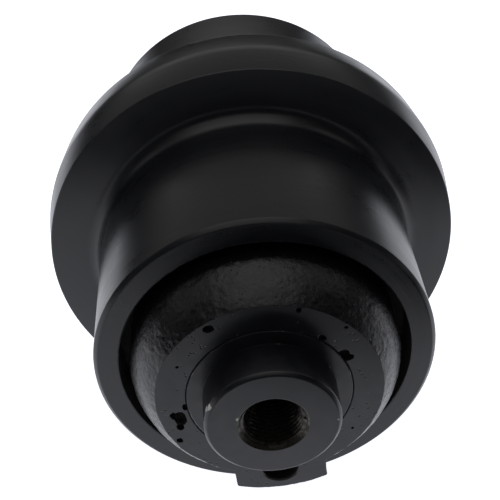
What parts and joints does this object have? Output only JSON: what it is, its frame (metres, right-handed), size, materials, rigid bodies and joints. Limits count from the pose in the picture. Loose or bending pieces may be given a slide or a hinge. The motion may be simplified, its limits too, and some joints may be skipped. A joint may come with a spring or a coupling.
{
  "type": "track roller",
  "caption": "Sealed track roller with a crowned centre flange between two treads, on a fixed shaft with eared end collars and spigot ends.",
  "frame": {"origin": "on the roller's axis at the middle of its width", "axes": "+Y along the roller's axis towards its inboard end, -Z towards the locating ears of both end collars"},
  "size_m": [0.136, 0.185, 0.136],
  "materials": {
    "shell_paint": "satin black paint on turned steel",
    "collar_paint": "gloss black paint on rough cast iron",
    "shaft_paint": "satin black paint on turned steel ends",
    "plug_steel": "zinc plated steel",
    "bush_bronze": "machined bronze",
    "seal_iron": "lapped alloy iron",
    "seal_rubber": "moulded nitrile rubber",
    "pin_steel": "ground steel"
  },
  "bodies": {
    "axle": {"collar_o_ring_inboard": "seal_rubber", "collar_o_ring_outboard": "seal_rubber", "collar_pin_inboard": "pin_steel", "collar_pin_outboard": "pin_steel", "end_collar_inboard": "collar_paint", "end_collar_outboard": "collar_paint", "oil_plug": "plug_steel", "seal_ring_static_inboard": "seal_iron", "seal_ring_static_outboard": "seal_iron", "shaft": "shaft_paint", "toric_static_inboard": "seal_rubber", "toric_static_outboard": "seal_rubber"},
    "roller": {"bush_inboard": "bush_bronze", "bush_outboard": "bush_bronze", "roller_shell": "shell_paint", "seal_ring_rotating_inboard": "seal_iron", "seal_ring_rotating_outboard": "seal_iron", "thrust_washer_inboard": "bush_bronze", "thrust_washer_outboard": "bush_bronze", "toric_rotating_inboard": "seal_rubber", "toric_rotating_outboard": "seal_rubber"}
  },
  "joints": [
    {"name": "roller_spin", "type": "hinge", "parent": "axle", "child": "roller", "pos_m": [0, 0, 0], "axis": [0, 1, 0], "continuous": true}
  ]
}
